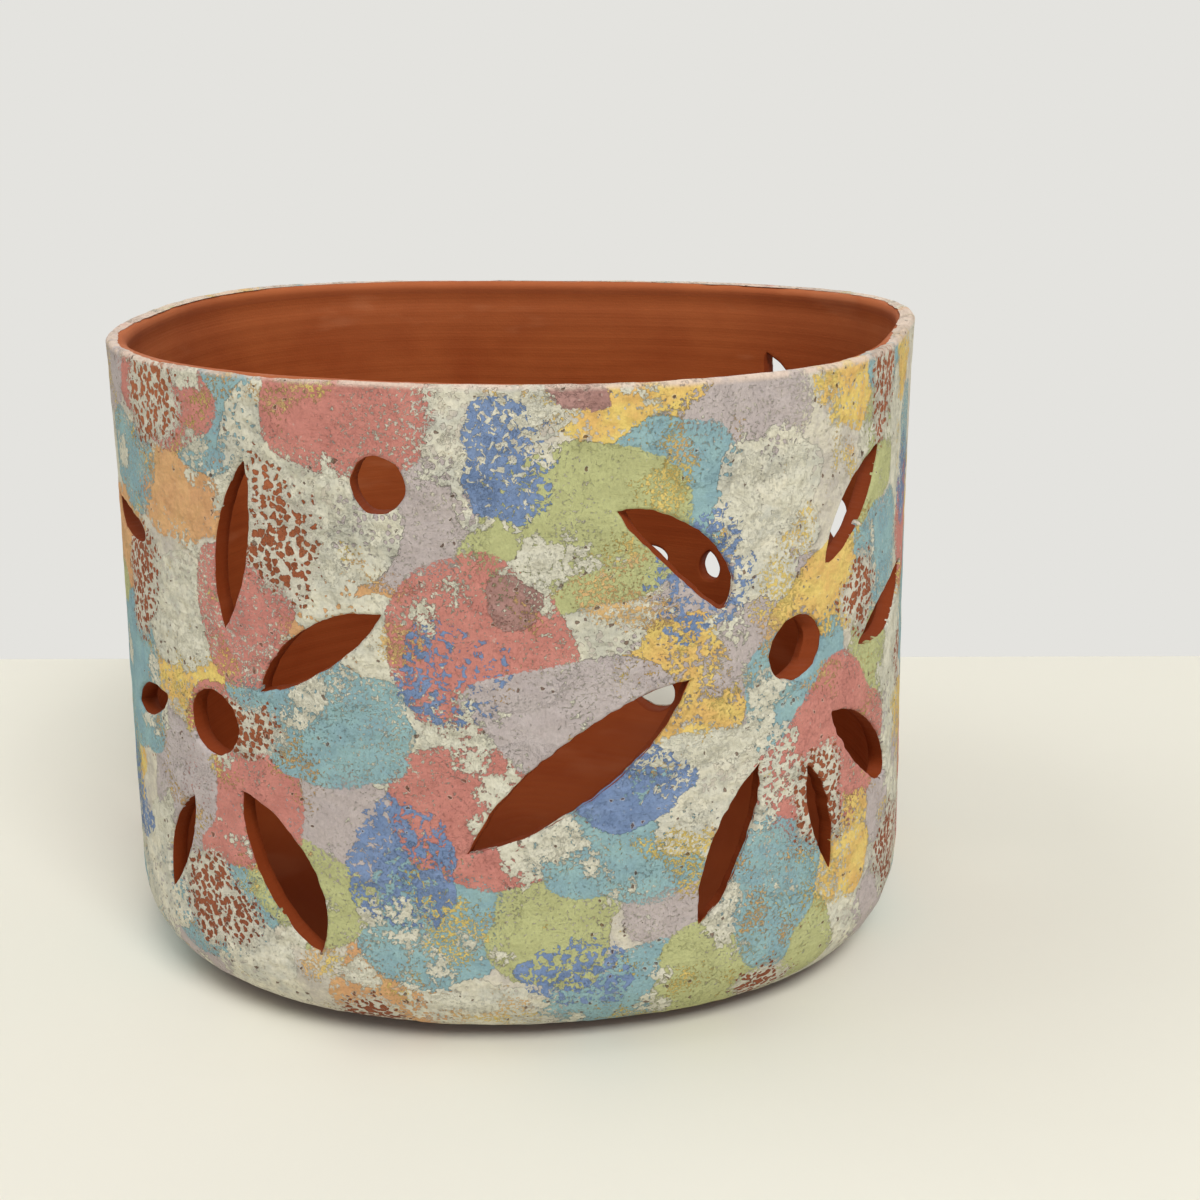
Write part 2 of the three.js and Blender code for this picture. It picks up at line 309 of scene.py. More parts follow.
# The stage and the lamps: name, place, width and height, power in watts
TABLE_CORNERS = ((-1500, -1500), (1500, 144))
TABLE_TONE = (236, 233, 220)
BACKDROP_PLACE = 644
BACKDROP_CORNERS = ((-3000, -900), (3000, 1600))
PAPER = (228, 227, 223)
ROOM_LIGHT = 0.42
LAMP_TARGET = (0, 0, 60)
LAMPS = (
    ("key", (580, -1250, 1730), (900, 700), 27),
    ("side", (-1150, -50, 1750), (1100, 1100), 8),
)


# Shapes shared by all the pieces

def eased(share):
    """A share from 0 to 1 with a soft start and a soft end."""
    return share * share * (3 - 2 * share)


def near_zero(turn, whole):
    """A turn brought to between minus and plus half of a whole one."""
    return (turn + whole / 2) % whole - whole / 2


def pairs_of(u, v):
    """Every pair of a value of u and a value of v, as two flat arrays."""
    return [grid.ravel() for grid in np.meshgrid(u, v, indexing="ij")]


def plan_share(angle, lobes):
    rises = (share * np.cos(count * (angle - math.radians(peak))) for count, share, peak in lobes)
    return 1 + sum(rises)


def shape_share(angle, height):
    """The squared plan's radius as a share of the round one's, at an angle in radians."""
    up = np.clip(height / POT_HEIGHT, 0, 1)
    foot = plan_share(angle, FOOT_LOBE_SHARES)
    rim = plan_share(angle, RIM_LOBE_SHARES)
    return (foot + (rim - foot) * eased(up)) * (1 + FLARE_SHARE * (up - 0.5))


def axis_place():
    """Where the turning axis stands, so that the plan's box is centred as the solids' is."""
    angle, height = np.meshgrid(np.linspace(-math.pi, math.pi, 721), np.linspace(0, POT_HEIGHT, 60))
    reach = POT_RADIUS * shape_share(angle, height)
    x, y = reach * np.cos(angle), reach * np.sin(angle)
    return np.array([-(x.min() + x.max()) / 2, -(y.min() + y.max()) / 2, 0])


AXIS = axis_place()
AROUND = 2 * math.pi * POT_RADIUS
INNER_RADIUS = POT_RADIUS - SLIP_THICKNESS - SLIP_GAP - CLAY_THICKNESS
HEEL_CENTRE = POT_RADIUS - HEEL_RADIUS
FLOOR_TOP = FOOT_HEIGHT + FLOOR_THICKNESS
INNER_HEEL_Z = FLOOR_TOP + INNER_HEEL_RADIUS
RIM_BASE = POT_HEIGHT - RIM_HEIGHT
SEAM_RADIUS = INNER_RADIUS - INNER_HEEL_RADIUS - FLOOR_MARGIN
STRAIGHT = POT_HEIGHT - RIM_ROUNDING - HEEL_RADIUS
QUARTER = RIM_ROUNDING * math.pi / 2


def placed(angle, radius, height):
    """Points in the part's frame from an angle in radians, a round radius and a height."""
    reach = radius * shape_share(angle, height)
    return np.stack([reach * np.cos(angle), reach * np.sin(angle), height], -1) + AXIS


def outer_profile(along, depth):
    """Radius and height on the outside, or at a depth under it, by the way up the profile.

    The way is 0 where the heel's rounding ends, negative down the heel, and it runs over the
    lip's outer rounding and in across the lip at its upper end.
    """
    heel = np.minimum(along, 0) / HEEL_RADIUS
    lip = np.clip((along - STRAIGHT) / RIM_ROUNDING, 0, math.pi / 2)
    across = np.maximum(along - STRAIGHT - QUARTER, 0)
    straight = np.clip(along, 0, STRAIGHT)
    low_r = HEEL_CENTRE + (HEEL_RADIUS - depth) * np.cos(heel)
    low_z = HEEL_RADIUS + (HEEL_RADIUS - depth) * np.sin(heel) + straight
    high_r = POT_RADIUS - RIM_ROUNDING + (RIM_ROUNDING - depth) * np.cos(lip) - across
    high_z = HEEL_RADIUS + STRAIGHT + (RIM_ROUNDING - depth) * np.sin(lip)
    on_lip = along > STRAIGHT
    return np.where(on_lip, high_r, low_r), np.where(on_lip, high_z, low_z)


def lip_drop(angle, height):
    """How far the uneven lip dips at an angle, for a point at a height on the rim."""
    around = np.stack([POT_RADIUS * np.cos(angle), POT_RADIUS * np.sin(angle), 0 * angle], -1)
    share = np.clip((height - RIM_BASE) / RIM_HEIGHT, 0, 1)
    return share * LIP_DROP * (1 + hills(around, LIP_DIP_HILLS))


def inner_bead(height):
    """How far the inside steps out from its plain radius: a bead at the lip over a groove."""
    bead = np.exp(-(((POT_HEIGHT - BEAD_DROP - height) / BEAD_WIDTH) ** 2))
    groove = np.exp(-(((POT_HEIGHT - GROOVE_DROP - height) / GROOVE_WIDTH) ** 2))
    return GROOVE_DEPTH * groove - BEAD_RISE * bead


def noise(points, size, seed):
    """Smooth noise from -1 to 1 at points, with hills about a size apart."""
    scaled = points / size
    cell = np.floor(scaled).astype(np.int64)
    part = eased(scaled - cell)
    total = np.zeros(len(points))
    for corner in itertools.product((0, 1), repeat=3):
        x, y, z = ((cell + corner) & 0xFFFF).T
        value = (x * 73856093) ^ (y * 19349663) ^ (z * 83492791) ^ (seed * 2654435761)
        value = ((value ^ (value >> 13)) * 1274126177) & 0xFFFFFFFF
        value = ((value ^ (value >> 16)) * 668265263) & 0xFFFFFFFF
        weight = np.prod(np.where(corner, part, 1 - part), axis=1)
        total += weight * (value / 2**31 - 1)
    return total


def hills(points, kinds):
    """Noise of several kinds laid over each other, each with its height, size and seed."""
    return sum(height * noise(points, size, seed) for height, size, seed in kinds)


# Cut-outs

def bezier(start, first, second, end, steps):
    t = np.linspace(0, 1, steps, endpoint=False)[:, None]
    a, b, c, d = (np.array(p, float) for p in (start, first, second, end))
    return a * (1 - t) ** 3 + 3 * b * t * (1 - t) ** 2 + 3 * c * t * t * (1 - t) + d * t**3


def petal_outline(length, left, right, blunt):
    """A petal along +X, its middle at the origin and its left side towards +Y."""
    tip = length / 2
    near, far = (share * length - tip for share in HANDLE_SHARES[blunt])
    up, down = left * HANDLE_REACH_SHARE, -right * HANDLE_REACH_SHARE
    lower = bezier((-tip, 0), (near, down), (far, down), (tip, 0), OUTLINE_STEPS)
    upper = bezier((tip, 0), (far, up), (near, up), (-tip, 0), OUTLINE_STEPS)
    return np.concatenate([lower, upper])


def cut_outs():
    """Every cut-out as its angle in radians, its height, and its outline seen from outside."""
    found = []
    for start, end, left, right, blunt in PETAL_SHARES:
        turn = near_zero(end[0] - start[0], 360)
        angle = math.radians(start[0] + turn / 2)
        height = (start[1] + end[1]) / 2 * POT_HEIGHT
        rise = (end[1] - start[1]) * POT_HEIGHT
        across = math.radians(turn) * POT_RADIUS * float(shape_share(angle, height))
        outline = petal_outline(
            math.hypot(across, rise), left * PETAL_WIDTH, right * PETAL_WIDTH, blunt
        )
        tilt = math.atan2(rise, across)
        turned = np.array([[math.cos(tilt), math.sin(tilt)], [-math.sin(tilt), math.cos(tilt)]])
        found.append((angle, height, outline @ turned))
    circle = np.linspace(0, 2 * math.pi, 2 * OUTLINE_STEPS, endpoint=False)
    ring = np.stack([np.cos(circle), np.sin(circle)], -1)
    for diameter, places in ((EYE_DIAMETER, EYE_SHARES), (VENT_DIAMETER, VENT_SHARES)):
        for degrees, share in places:
            found.append((math.radians(degrees), share * POT_HEIGHT, ring * diameter / 2))
    return found


def outline_distance(points, outline):
    """Distance of points to a closed outline, negative inside it."""
    start, end = outline, np.roll(outline, -1, axis=0)
    edge = end - start
    to = points[:, None, :] - start
    share = np.clip((to * edge).sum(-1) / (edge * edge).sum(-1), 0, 1)
    nearest = np.hypot(*np.moveaxis(to - share[..., None] * edge, -1, 0)).min(1)
    x, y = points.T[:, :, None]
    crosses = (start[:, 1] > y) != (end[:, 1] > y)
    rise = np.where(edge[:, 1] == 0, 1, edge[:, 1])
    hit = x < start[:, 0] + (y - start[:, 1]) / rise * edge[:, 0]
    inside = (crosses & hit).sum(1) % 2 == 1
    return np.where(inside, -nearest, nearest)


def cut_distance(angle, height, places):
    """Distance to the nearest cut-out, negative in it, with the hand's wobble added."""
    reach = POT_RADIUS * shape_share(angle, height)
    distance = np.full(angle.shape, float(PAINT_REACH))
    for middle, middle_height, outline in cut_outs():
        turn = near_zero(angle - middle, 2 * math.pi)
        x, y = reach * np.sin(turn), height - middle_height
        size = np.abs(outline).max(0) + PAINT_REACH
        near = (np.abs(turn) < math.pi / 2) & (np.abs(x) < size[0]) & (np.abs(y) < size[1])
        found = outline_distance(np.stack([x[near], y[near]], -1), outline)
        distance[near] = np.minimum(distance[near], found)
    ragged = 1 + 1.4 * noise(places, 16, 3)
    nicks = CUT_NICK * ragged * noise(places, NICK_SIZE, 2)
    return distance + CUT_WOBBLE * noise(places, WOBBLE_SIZE, 1) + nicks


# Sheets: a flat grid, trimmed along a distance of 0, that is then wrapped on the pot

def gradient(distance, u, v, wrap):
    if wrap:
        step = u[1] - u[0]
        along = (np.roll(distance, -1, 0) - np.roll(distance, 1, 0)) / (2 * step)
    else:
        along = np.gradient(distance, u, axis=0)
    return along, np.gradient(distance, v, axis=1)


def trimmed(u, v, distance, wrap):
    """The part of a grid where a distance is positive, as points, faces and edge details.

    The distance is given for each pair of a u and a v. Returns the points' u and v with
    their inward directions, the faces, and the directed edges of the rim. A point that
    nearly lies on the trim is moved onto it.
    """
    rows, columns = len(u), len(v)
    distance, grid_u, grid_v = (
        flat.reshape(rows, columns) for flat in (distance, *pairs_of(u, v))
    )
    in_u, in_v = gradient(distance, u, v, wrap)
    steep = np.maximum(np.hypot(in_u, in_v), 0.2)
    in_u, in_v = in_u / steep, in_v / steep
    snap = 0.3 * min(np.diff(u).min(), np.diff(v).min())
    close = np.abs(distance) < snap * steep
    close[:, [0, -1]] = False
    grid_u = np.where(close, grid_u - in_u * distance / steep, grid_u)
    grid_v = np.where(close, grid_v - in_v * distance / steep, grid_v)
    distance = np.where(close, 0, distance)

    flat = distance.ravel()
    data = [a.ravel() for a in (grid_u, grid_v, in_u, in_v)]
    number = np.arange(rows * columns).reshape(rows, columns)
    ahead = np.roll(number, -1, 0) if wrap else number[1:]
    here = number if wrap else number[:-1]
    cells = np.stack([here[:, :-1], ahead[:, :-1], ahead[:, 1:], here[:, 1:]], -1).reshape(-1, 4)
    values = flat[cells]
    whole = (values >= 0).all(1) & (values > 0).any(1)
    mixed = (values < 0).any(1) & (values > 0).any(1)
    span = u[-1] + (u[1] - u[0]) - u[0]

    extra = []
    made = {}

    def crossing(a, b):
        key = (min(a, b), max(a, b))
        if key not in made:
            share = flat[key[0]] / (flat[key[0]] - flat[key[1]])
            first, second = ([array[k] for array in data] for k in key)
            if wrap and abs(second[0] - first[0]) > span / 2:
                second[0] += span if second[0] < first[0] else -span
            extra.append([p + (q - p) * share for p, q in zip(first, second)])
            made[key] = rows * columns + len(extra) - 1
        return made[key]

    faces = [list(face) for face in cells[whole].tolist()]
    for cell in cells[mixed].tolist():
        face = []
        for a, b in zip(cell, cell[1:] + cell[:1]):
            if flat[a] >= 0:
                face.append(a)
            if flat[a] * flat[b] < 0:
                face.append(crossing(a, b))
        if len(face) > 2:
            faces.append(face)
    points = np.concatenate([np.stack(data, -1), np.array(extra).reshape(-1, 4)])

    used = np.unique(np.concatenate([np.array(face) for face in faces]))
    renumber = np.full(len(points), -1)
    renumber[used] = np.arange(len(used))
    faces = [renumber[face].tolist() for face in faces]
    pairs = np.array([pair for face in faces for pair in zip(face, face[1:] + face[:1])])
    code = pairs[:, 0] * len(used) + pairs[:, 1]
    back = pairs[:, 1] * len(used) + pairs[:, 0]
    rim = pairs[~np.isin(code, back)]
    return points[used], faces, rim


def pushed(points, outwards):
    """The u and v of a sheet's points, moved outwards over its edge."""
    return points[:, :2] - points[:, 2:4] * outwards


def shell(sheet, front, back, rings):
    """A closed body between a sheet's front and back, with rings of points round its edges.

    front and back give places for the sheet's points. Each ring gives places for the points
    of the rim, in order from the front to the back. The second value returned says, for each
    vertex, which of the sheet's points it came from.
    """
    points, faces, rim = sheet
    count = len(points)
    edge = np.unique(rim)
    slot = np.full(count, -1)
    slot[edge] = np.arange(len(edge))
    places = [front(points), back(points)] + [ring(points[edge]) for ring in rings]
    source = np.concatenate([np.arange(count)] * 2 + [edge] * len(rings))
    levels = [np.arange(count)]
    for index in range(len(rings)):
        levels.append(np.where(slot >= 0, 2 * count + index * len(edge) + slot, -1))
    levels.append(np.arange(count) + count)
    out = list(faces)
    out += [[count + k for k in reversed(face)] for face in faces]
    for upper, lower in zip(levels, levels[1:]):
        quads = np.stack([upper[rim[:, 1]], upper[rim[:, 0]], lower[rim[:, 0]], lower[rim[:, 1]]], -1)
        out += quads.tolist()
    return np.concatenate(places), out, source


def into_scene(name, data):
    """A new object of the scene, which holds a mesh, a lamp or a camera."""
    thing = bpy.data.objects.new(name, data)
    bpy.context.scene.collection.objects.link(thing)
    return thing


def add_piece(name, places, faces, node, material, attributes=()):
    """A mesh object in metres that rides on the pot's body and stands for one of its solids.

    Points of rings that fall together, where an edge has no rounding, become one.
    """
    mesh = bpy.data.meshes.new(name)
    mesh.from_pydata((places * MM).tolist(), [], faces)
    for key, values in attributes:
        layer = mesh.attributes.new(key, "FLOAT_VECTOR", "POINT")
        layer.data.foreach_set("vector", np.asarray(values, np.float32).ravel())
    joined = bmesh.new()
    joined.from_mesh(mesh)
    bmesh.ops.remove_doubles(joined, verts=joined.verts, dist=MERGE_REACH * MM)
    joined.to_mesh(mesh)
    joined.free()
    mesh.validate()
    mesh.polygons.foreach_set("use_smooth", np.ones(len(mesh.polygons), bool))
    mesh.set_sharp_from_angle(angle=math.radians(SHARP_ANGLE))
    mesh.materials.append(material)
    piece = into_scene(name, mesh)
    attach(piece, "root")
    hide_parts(node)


def round_grid():
    """The angles of a grid round the pot, as ways round at the mean radius."""
    count = round(AROUND / GRID_STEP)
    return np.arange(count) * AROUND / count


def outside(points):
    """The angle, height and place on the pot's outside of points round it and up its profile."""
    angle = points[:, 0] / POT_RADIUS
    radius, height = outer_profile(points[:, 1], 0)
    return angle, height, placed(angle, radius, height)


# Slip: dabs of colour in a layout of their own

def quilt(lowest, highest):
    """Places of the dabs of each paint, on a staggered net round the pot, from a seed."""
    draw = np.random.default_rng(QUILT_SEED)
    columns = round(AROUND / QUILT_PITCH)
    rows = round((highest - lowest) / (ROW_PITCH_SHARE * QUILT_PITCH))
    laid = {}
    places = {paint[0]: [] for paint in PAINTS}
    for row, column in itertools.product(range(rows), range(columns)):
        lean = 1 if row % 2 else -1
        beside = [(row, column - 1), (row, (column + 1) % columns), (row - 1, column)]
        beside.append((row - 1, (column + lean) % columns))
        taken = {laid.get(place) for place in beside}
        free = [paint for paint in PAINTS if paint[1] not in taken]
        shares = np.array([paint[4] for paint in free])
        paint = free[draw.choice(len(free), p=shares / shares.sum())]
        laid[row, column] = paint[1]
        shift = draw.uniform(-QUILT_JITTER, QUILT_JITTER, 2)
        way = (column + 0.5 * (row % 2) + shift[0]) / columns * AROUND
        height = lowest + (row + 0.5 + shift[1]) / rows * (highest - lowest)
        places[paint[0]].append((way, height))
    return places


def scattered(count, lowest, highest, seed):
    """Places spread evenly round the pot from a seed."""
    starts = np.random.default_rng(seed).random(2)
    across, up = (
        (start + np.arange(count) * step) % 1 for start, step in zip(starts, EVEN_STEP_SHARES)
    )
    return list(zip(across * AROUND, lowest + up * (highest - lowest)))


def dab_depth(points, places, centres, radius, scallop, seed):
    """How deep points lie inside a colour's dabs in mm, negative outside them.

    Each dab is a round whose edge swells and draws in a little, with shallow scallops.
    """
    draw = np.random.default_rng(seed)
    u = points[:, 0] + 1.3 * noise(places, 8, seed)
    v = points[:, 1] + 1.3 * noise(places, 8, seed + 80)
    depth = np.full(len(points), -float(PAINT_REACH))
    for way, height in centres:
        size = radius * draw.uniform(0.72, 1.25)
        stretch = draw.uniform(0.8, 1.25)
        swells = [(n, draw.uniform(0.3, 1) * 0.16 / n**0.5, draw.uniform(0, 6.3)) for n in (2, 3, 4)]
        bumps, turned = draw.integers(6, 10), draw.uniform(0, 6.3)
        x = near_zero(u - way, AROUND) / stretch
        y = (v - height) * stretch
        near = (np.abs(x) < size + PAINT_REACH) & (np.abs(y) < size + PAINT_REACH)
        turn = np.arctan2(y[near], x[near])
        edge = 1 + sum(share * np.cos(n * turn + phase) for n, share, phase in swells)
        edge += scallop * (np.abs(np.cos(bumps / 2 * turn + turned)) * 2 - 1)
        depth[near] = np.maximum(depth[near], size * edge - np.hypot(x[near], y[near]))
    return depth


def paint_layers(points, places):
    """Each colour's name, its depth, and the share that the sponge leaves open, by point."""
    lowest, highest = points[:, 1].min(), points[:, 1].max() + TOP_MARGIN
    centres = quilt(lowest, highest)
    kinds = [(paint[0], centres[paint[0]], *paint[5:]) for paint in PAINTS]
    for name, _, _, count, seed, *shape in ACCENTS:
        kinds.append((name, scattered(count, lowest, highest, seed), *shape))
    layers = []
    for seed, (name, centre, radius, scallop, worn) in enumerate(kinds, 200):
        depth = dab_depth(points, places, centre, radius, scallop, seed)
        swing = hills(places, ((1, 15, seed + 160), (0.5, 6, seed + 240)))
        frayed = EDGE_WEAR * np.exp(-np.abs(depth) / 2.5) * (1 + 1.6 * noise(places, 18, seed + 320))
        share = worn + 2 * WORN_SWING * (worn + 0.08) * swing + np.maximum(frayed, 0)
        layers.append((name, depth, np.clip(share, 0, 1)))
    return layers


def slip_sheet():
    """The slip's sheet, trimmed by the cut-outs, the ragged lip line and the heel line.

    Returns its points, 1 for those that aren't close to the lip line or heel line alone, its
    faces and its rim.
    """
    u = round_grid()
    heel_end = -HEEL_RADIUS * math.radians(SLIP_END_ANGLE)
    low = np.arange(heel_end - GRID_STEP, STRAIGHT - FINE_GRID_DROP, GRID_STEP)
    high = np.arange(low[-1] + LIP_STEP, STRAIGHT + QUARTER + GRID_OVERRUN, LIP_STEP)
    v = np.concatenate([low, high])
    flat = np.stack(pairs_of(u, v), -1)
    angle, height, places = outside(flat)
    cuts = cut_distance(angle, height, places) - EDGE_ROUNDING
    cuts -= SLIP_NICK * (1 + noise(places, SLIP_NICK_SIZE, 30))
    lip = lip_line(angle, places) - flat[:, 1]
    heel = flat[:, 1] - heel_end + HEEL_LINE_WOBBLE * noise(places, 5, 31) - HEEL_LINE_RISE
    distance = np.minimum(cuts, np.minimum(lip, heel))
    points, faces, rim = trimmed(u, v, distance, True)
    angle, height, places = outside(points)
    inside = np.minimum(lip_line(angle, places) - points[:, 1], points[:, 1] - heel_end)
    cut = (inside > LINE_REACH) | (cut_distance(angle, height, places) < CUT_REACH)
    return points, cut[:, None], faces, rim


def bump_at(angle, middle, reach):
    """1 at an angle in degrees, falling to 0 at a reach to either side of it."""
    turn = near_zero(np.degrees(angle) - middle, 360)
    return eased(np.clip(1 - np.abs(turn) / reach, 0, 1))


def lip_line(angle, places):
    """How far up the profile the slip reaches: to the lip's crest, and over it in places."""
    over = sum(rise * bump_at(angle, middle, reach) for middle, reach, rise in LIP_LAPS)
    return STRAIGHT + QUARTER + hills(places, LIP_LINE_HILLS) + over


def make_slip(material):
    points, cut, faces, rim = slip_sheet()
    angle, height, places = outside(points)
    layers = paint_layers(points, places)

    def step(values, width):
        return eased(np.clip(values / width + 0.5, 0, 1))

    build = sum(step(depth, DAB_EDGE) * (1 - worn) for name, depth, worn in layers[:-1])
    back = cut_distance(angle, height, places) - EDGE_BACK
    bead = np.exp(-((back / EDGE_WIDTH) ** 2)) * (1 + noise(places, 12, 39))
    depth = SLIP_FACE - COAT_RISE * np.minimum(build, MOST_COATS)
    depth -= LUMP_RISE * hills(places, LUMP_HILLS)
    depth -= EDGE_RISE * bead
    depth += SCRAPE_DEPTH * step(layers[-1][1], SCRAPE_EDGE)
    below_line = lip_line(angle, places) - points[:, 1]
    feather = step(below_line - FEATHER_WIDTH / 2, FEATHER_WIDTH)
    depth = np.clip(depth, SLIP_HIGHEST, SLIP_LOWEST) * feather
    depth += FEATHERED_DEPTH * (1 - feather)
    lap = np.clip(LAP_MEAN + hills(places, LAP_HILLS), LAP_LEAST, LAP_MOST)
    points = np.concatenate([points, cut, depth[:, None], lap[:, None]], 1)

    def at(some, outwards, depth):
        moved = pushed(some, outwards * some[:, 4:5])
        radius, height = outer_profile(moved[:, 1], depth)
        turned = moved[:, 0] / POT_RADIUS
        return placed(turned, radius, height - lip_drop(turned, height))

    def ring(outwards, share, lapped):
        """A ring of the edge, from the front's depth (share 0) to the back's (share 1)."""
        def places_of(some):
            depth = some[:, 5] + share * (SLIP_BACK - some[:, 5]) + lapped * some[:, 6] * some[:, 4]
            return at(some, outwards, depth)
        return places_of

    rings = [ring(out * EDGE_ROUNDING, *shares) for out, *shares in SLIP_RING_SHARES]
    sheet = points, faces, rim
    places, faces, source = shell(
        sheet, lambda some: at(some, 0, some[:, 5]), lambda some: at(some, 0, SLIP_BACK), rings
    )
    attributes = [
        (name, np.stack([depth, worn, 0 * worn], -1)[source]) for name, depth, worn in layers
    ]
    add_piece("painted_slip_coat", places, faces, "slip_coat", material, attributes)


# Clay wall, rim, floor and foot

def lean_shift(angle, height):
    """How far the inner edges of the leaning cut-outs are moved aside and up, near them."""
    shift = np.zeros((len(angle), 2))
    found = cut_outs()
    for index, lean in LEANS.items():
        middle, middle_height, outline = found[index]
        turn = near_zero(angle - middle, 2 * math.pi)
        flat = np.stack([POT_RADIUS * turn, height - middle_height], -1)
        near = np.abs(flat).max(1) < np.abs(outline).max() + LEAN_REACH
        share = np.clip(1 - outline_distance(flat[near], outline) / LEAN_REACH, 0, 1)
        shift[near] += eased(share)[:, None] * lean
    return shift


def inner_radius(height):
    drop = np.clip(INNER_HEEL_Z - height, 0, INNER_HEEL_RADIUS)
    heel = INNER_RADIUS - INNER_HEEL_RADIUS + np.sqrt(INNER_HEEL_RADIUS**2 - drop**2)
    return heel + inner_bead(height)


def throwing_rings(angle, height, places):
    """The low spiral ridges that fingers leave inside a thrown pot."""
    phase = 2 * math.pi * (height / RING_PITCH + angle / (2 * math.pi))
    swell = 0.6 + 0.4 * noise(places, 30, 51)
    ridges = np.sin(phase + 1.3 * noise(places, 25, 52)) * swell
    fade = np.clip((RIM_BASE - 1 - height) / 4, 0, 1)
    return fade * (RING_RISE * ridges + WALL_SWELL * noise(places, 22, 54))


def wall_sheet():
    """The clay wall's sheet, whose v is the height, trimmed by the cut-outs."""
    u = round_grid()
    v = np.linspace(LOW_ROW, RIM_BASE, round((RIM_BASE - LOW_ROW) / GRID_STEP))
    way, height = pairs_of(u, v)
    angle = way / POT_RADIUS
    radius, _ = outer_profile(along_of_height(height), 0)
    cuts = cut_distance(angle, height, placed(angle, radius, height)) - EDGE_ROUNDING
    return trimmed(u, v, cuts, True)


def along_of_height(height):
    """The way up the outer profile at a height on the wall or the heel."""
    sine = np.clip((height - HEEL_RADIUS) / HEEL_RADIUS, -1, 0)
    return np.where(height < HEEL_RADIUS, HEEL_RADIUS * np.arcsin(sine), height - HEEL_RADIUS)


def make_wall(material):
    sheet = wall_sheet()

    def outer_at(points, outwards, depth):
        moved = pushed(points, outwards)
        radius, _ = outer_profile(along_of_height(moved[:, 1]), depth)
        return placed(moved[:, 0] / POT_RADIUS, radius, moved[:, 1])

    def inner_at(points, outwards, depth):
        moved = pushed(points, outwards)
        moved = moved + lean_shift(moved[:, 0] / POT_RADIUS, moved[:, 1])
        angle, height = moved[:, 0] / POT_RADIUS, moved[:, 1]
        places = placed(angle, inner_radius(height), height)
        rings = throwing_rings(angle, height, places)
        return placed(angle, inner_radius(height) - rings + depth, height)

    def at_cut(points):
        height = points[:, 1]
        inside = (height > LOW_ROW + ROW_SLACK) & (height < RIM_BASE - ROW_SLACK)
        return inside[:, None].astype(float)

    def ring(place_at, share, depth):
        return lambda points: place_at(points, share * EDGE_ROUNDING * at_cut(points), depth)

    rings = [ring(outer_at, 1, CLAY_FRONT + CUT_FRONT_DROP)]
    rings += [ring(inner_at, share, depth) for share, depth in CUT_RINGS]
    places, faces, source = shell(
        sheet,
        lambda points: outer_at(points, 0, CLAY_FRONT),
        lambda points: inner_at(points, 0, 0),
        rings,
    )
    points = sheet[0]
    # The cut faces are marked so that the clay material darkens them with painted shade
    cut = np.zeros(places.shape)
    cut[2 * len(points) :, :1] = at_cut(points[source[2 * len(points) :]])
    add_piece("pierced_wall", places, faces, "wall", material, [("cut_face", cut)])


def turned_piece(name, profile, steps, node, material, relief=None):
    """A ring turned from a closed profile of (radius, height) points, squared like the pot."""
    angle = np.arange(steps) / steps * 2 * math.pi
    loop = np.array(profile)
    angle, index = pairs_of(angle, np.arange(len(loop)))
    radius, height = loop[index].T
    if relief:
        radius, height = relief(angle, radius, height)
    places = placed(angle, radius, height)
    number = np.arange(steps * len(loop)).reshape(steps, len(loop))
    ahead = np.roll(number, -1, 0)
    faces = np.stack([number, ahead, np.roll(ahead, -1, 1), np.roll(number, -1, 1)], -1)
    add_piece(name, places, faces.reshape(-1, 4).tolist(), node, material)


def arc(centre, radius, start, end, steps):
    turn = np.radians(np.linspace(start, end, steps + 1))
    return [(centre[0] + radius * math.cos(t), centre[1] + radius * math.sin(t)) for t in turn]


def make_heel(material):
    """The lower rows of the wall, from the petals' lowest reach round both heels to the seam."""
    clay = CLAY_FRONT
    heel_start = math.degrees(math.asin((LOW_ROW - HEEL_RADIUS) / (HEEL_RADIUS - clay)))
    heel_end = -math.degrees(math.asin((HEEL_RADIUS - FOOT_HEIGHT) / (HEEL_RADIUS - clay)))
    inner_centre = (INNER_RADIUS - INNER_HEEL_RADIUS, INNER_HEEL_Z)
    inner_start = math.degrees(math.asin((LOW_ROW - INNER_HEEL_Z) / INNER_HEEL_RADIUS))
    outer = arc((HEEL_CENTRE, HEEL_RADIUS), HEEL_RADIUS - clay, heel_end, heel_start, 8)
    inner = arc(inner_centre, INNER_HEEL_RADIUS, inner_start, -90, 10)
    profile = [(SEAM_RADIUS, FOOT_HEIGHT), *outer, *inner, (SEAM_RADIUS, FLOOR_TOP)]
    turned_piece("wall_heel", profile, HEEL_STEPS, "wall", material)


def make_rim(material):
    top = POT_HEIGHT - SLIP_BACK - PIECE_GAP
    low, high = RIM_BASE - HEEL_RADIUS, STRAIGHT + QUARTER
    outer = [outer_profile(way, SLIP_BACK + PIECE_GAP) for way in np.linspace(low, high, 14)]
    rounding = top - LIP_INNER_ROUNDING
    start = INNER_RADIUS + inner_bead(rounding)
    inner = arc((start + LIP_INNER_ROUNDING, rounding), LIP_INNER_ROUNDING, 90, 180, 9)
    inner += [(INNER_RADIUS + inner_bead(h), h) for h in np.linspace(rounding, RIM_BASE, 7)[1:]]

    def relief(angle, radius, height):
        around = np.stack([POT_RADIUS * np.cos(angle), POT_RADIUS * np.sin(angle), height / 2], -1)
        share = np.clip((height - RIM_BASE) / RIM_HEIGHT, 0, 1)
        facing_in = radius < (INNER_RADIUS + POT_RADIUS) / 2
        swell = hills(around, LIP_INNER_HILLS) * facing_in * share
        return radius + swell, height - lip_drop(angle, height)

    turned_piece("rounded_lip", [*outer, *inner], LIP_STEPS, "rim", material, relief)


